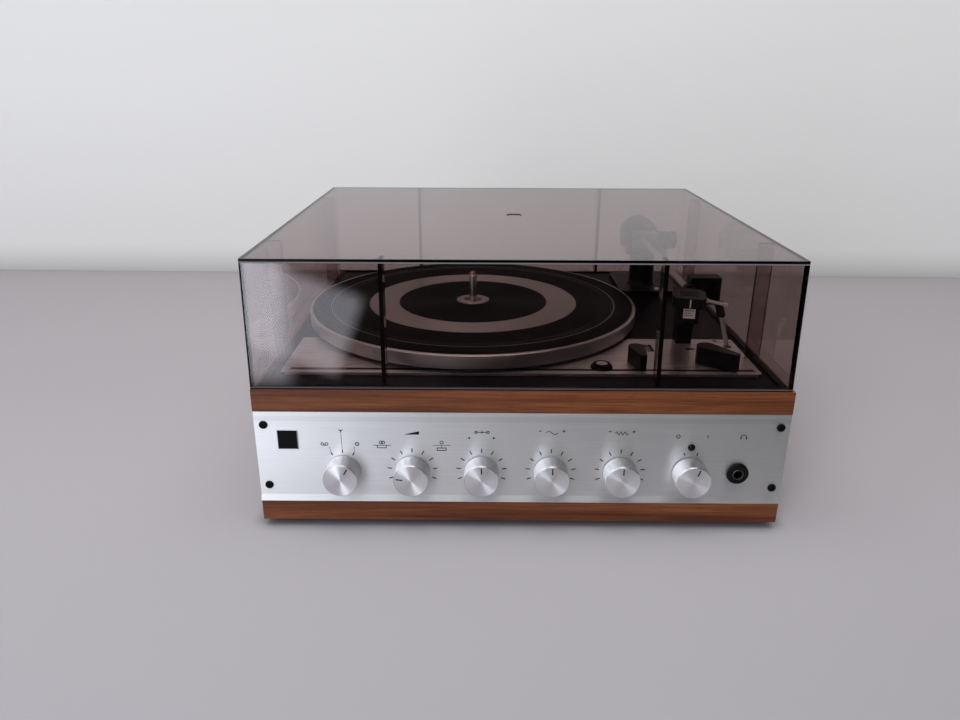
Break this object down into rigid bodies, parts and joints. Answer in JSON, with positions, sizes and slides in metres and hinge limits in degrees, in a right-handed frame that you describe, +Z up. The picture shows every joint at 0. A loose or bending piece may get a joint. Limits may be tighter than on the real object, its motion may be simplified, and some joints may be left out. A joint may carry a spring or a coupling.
{
  "type": "stereo music centre",
  "caption": "Stereo music centre: a record changer and amplifier in a wooden plinth with a brushed control panel, under a loose smoked acrylic cover.",
  "frame": {"origin": "on the table, under the middle of the whole object's box", "axes": "+X to the right as seen from the front, -Y out of the front panel, +Z up"},
  "size_m": [0.39, 0.372, 0.207],
  "materials": {
    "walnut_veneer": "satin lacquer",
    "black_hardboard": "matte black paint",
    "foot_rubber": "matte",
    "brushed_panel": "brushed sideways, satin anodised",
    "black_screw": "satin black",
    "lamp_lens": "clear dark red",
    "black_plastic": "satin moulded",
    "cartridge_body": "gloss moulded",
    "control_body": "zinc plated",
    "switch_body": "moulded",
    "slider_body": "moulded",
    "plated_brass": "plated",
    "deck_enamel": "gloss black enamel",
    "trim_aluminium": "brushed sideways, bright",
    "chrome_plate": "polished",
    "steel": "bright",
    "motor_shell": "zinc grey",
    "board_laminate": "resin laminate",
    "capacitor_sleeve": "shrunk sleeve",
    "black_anodised": "black anodised",
    "transformer_iron": "varnished iron",
    "rear_plate": "matte black",
    "platter_metal": "turned",
    "mat_rubber": "matte black with fine rings",
    "ring_aluminium": "turned, bright",
    "idler_rubber": "matte",
    "weight_metal": "satin black",
    "spun_aluminium": "spun face, turned side",
    "smoked_acrylic": "transparent, brown-grey smoke, polished"
  },
  "bodies": {
    "root": {"plinth_sides": "walnut_veneer", "front_rail_top": "walnut_veneer", "front_rail_bottom": "walnut_veneer", "rear_rail": "walnut_veneer", "base_board": "black_hardboard", "feet": "foot_rubber", "front_panel": "brushed_panel", "panel_screws": "black_screw", "pilot_lamp": "lamp_lens", "headphone_jack": "black_plastic", "potentiometers": "control_body", "source_switch": "control_body", "power_switch": "switch_body", "bushing_nuts": "plated_brass", "top_board": "black_hardboard", "chassis_plate": "deck_enamel", "chassis_trim": "trim_aluminium", "transport_screws": "chrome_plate", "suspension_springs": "steel", "bearing_housing": "steel", "thrust_balls": "steel", "motor": "motor_shell", "arm_base": "black_plastic", "arm_rest": "black_plastic", "circuit_board": "board_laminate", "capacitors": "capacitor_sleeve", "heat_sink": "black_anodised", "transformer": "transformer_iron", "rear_panel": "rear_plate", "rear_sockets": "black_plastic", "mains_gland": "black_plastic"},
    "cover": {"cover_top": "smoked_acrylic", "cover_front": "smoked_acrylic", "cover_rear": "smoked_acrylic", "cover_left": "smoked_acrylic", "cover_right": "smoked_acrylic", "cover_ribs": "smoked_acrylic"},
    "platter": {"platter": "platter_metal", "platter_mat": "mat_rubber", "mat_ring": "ring_aluminium", "hub_disc": "ring_aluminium"},
    "spindle": {"center_spindle": "chrome_plate"},
    "idler": {"idler_wheel": "idler_rubber"},
    "pulley": {"motor_pulley": "plated_brass"},
    "arm_turret": {"arm_yoke": "black_plastic"},
    "tonearm": {"arm_tube": "steel", "head_shell": "black_plastic", "finger_lift": "chrome_plate", "cartridge": "cartridge_body"},
    "weight": {"counterweight": "weight_metal"},
    "size_selector": {"size_lever": "black_plastic"},
    "starter": {"start_lever": "black_plastic"},
    "cue": {"cue_lever": "black_plastic"},
    "selector": {"selector_knob": "spun_aluminium"},
    "slider": {"stereo_slider": "slider_body"},
    "volume": {"volume_knob": "spun_aluminium"},
    "balance": {"balance_knob": "spun_aluminium"},
    "bass": {"bass_knob": "spun_aluminium"},
    "treble": {"treble_knob": "spun_aluminium"},
    "power": {"power_knob": "spun_aluminium"}
  },
  "joints": [
    {"name": "cover_lift", "type": "slide", "parent": "root", "child": "cover", "axis": [0, 0, 1], "range_m": [0, 0.15]},
    {"name": "platter_spin", "type": "hinge", "parent": "root", "child": "platter", "pos_m": [-0.038, 0.0035, 0.12], "axis": [0, 0, -1], "continuous": true},
    {"name": "idler_spin", "type": "hinge", "parent": "root", "child": "idler", "pos_m": [-0.12694, 0.05485, 0.12], "axis": [0, 0, -1], "continuous": true},
    {"name": "pulley_spin", "type": "hinge", "parent": "root", "child": "pulley", "pos_m": [-0.10756, 0.07111, 0.12], "axis": [0, 0, -1], "continuous": true},
    {"name": "spindle_lift", "type": "slide", "parent": "root", "child": "spindle", "axis": [0, 0, 1], "range_m": [0, 0.045]},
    {"name": "arm_swing", "type": "hinge", "parent": "root", "child": "arm_turret", "pos_m": [0.135, 0.102, 0.15], "axis": [0, 0, -1], "range_deg": [0, 42]},
    {"name": "arm_lift", "type": "hinge", "parent": "arm_turret", "child": "tonearm", "pos_m": [0.135, 0.102, 0.164], "axis": [-1, 0, 0], "range_deg": [0, 6]},
    {"name": "weight_slide", "type": "slide", "parent": "tonearm", "child": "weight", "axis": [0, 1, 0], "range_m": [-0.004, 0.004]},
    {"name": "size_turn", "type": "hinge", "parent": "root", "child": "size_selector", "pos_m": [0.09, -0.116, 0.12], "axis": [0, 0, 1], "range_deg": [-15, 15]},
    {"name": "start_turn", "type": "hinge", "parent": "root", "child": "starter", "pos_m": [0.1435, -0.117, 0.12], "axis": [0, 0, 1], "range_deg": [-10, 10], "stiffness_Nm_per_rad": 0.3},
    {"name": "cue_rock", "type": "hinge", "parent": "root", "child": "cue", "pos_m": [0.173, -0.079, 0.1116], "axis": [1, 0, 0], "range_deg": [0, 25]},
    {"name": "selector_turn", "type": "hinge", "parent": "root", "child": "selector", "pos_m": [-0.1315, -0.17, 0.0483], "axis": [0, 1, 0], "range_deg": [-60, 0]},
    {"name": "volume_pull", "type": "slide", "parent": "root", "child": "slider", "axis": [0, -1, 0], "range_m": [0, 0.004]},
    {"name": "volume_turn", "type": "hinge", "parent": "slider", "child": "volume", "pos_m": [-0.0802, -0.17, 0.0483], "axis": [0, 1, 0], "range_deg": [-52.5, 217.5]},
    {"name": "balance_turn", "type": "hinge", "parent": "root", "child": "balance", "pos_m": [-0.0289, -0.17, 0.0483], "axis": [0, 1, 0], "range_deg": [-135, 135]},
    {"name": "bass_turn", "type": "hinge", "parent": "root", "child": "bass", "pos_m": [0.0224, -0.17, 0.0483], "axis": [0, 1, 0], "range_deg": [-135, 135]},
    {"name": "treble_turn", "type": "hinge", "parent": "root", "child": "treble", "pos_m": [0.0737, -0.17, 0.0483], "axis": [0, 1, 0], "range_deg": [-135, 135]},
    {"name": "power_turn", "type": "hinge", "parent": "root", "child": "power", "pos_m": [0.125, -0.17, 0.0483], "axis": [0, 1, 0], "range_deg": [-40, 0]}
  ],
  "couplings": [
    {"joint": "idler_spin", "follows": "platter_spin", "ratio": 5.6818},
    {"joint": "pulley_spin", "follows": "platter_spin", "ratio": -41.667}
  ]
}
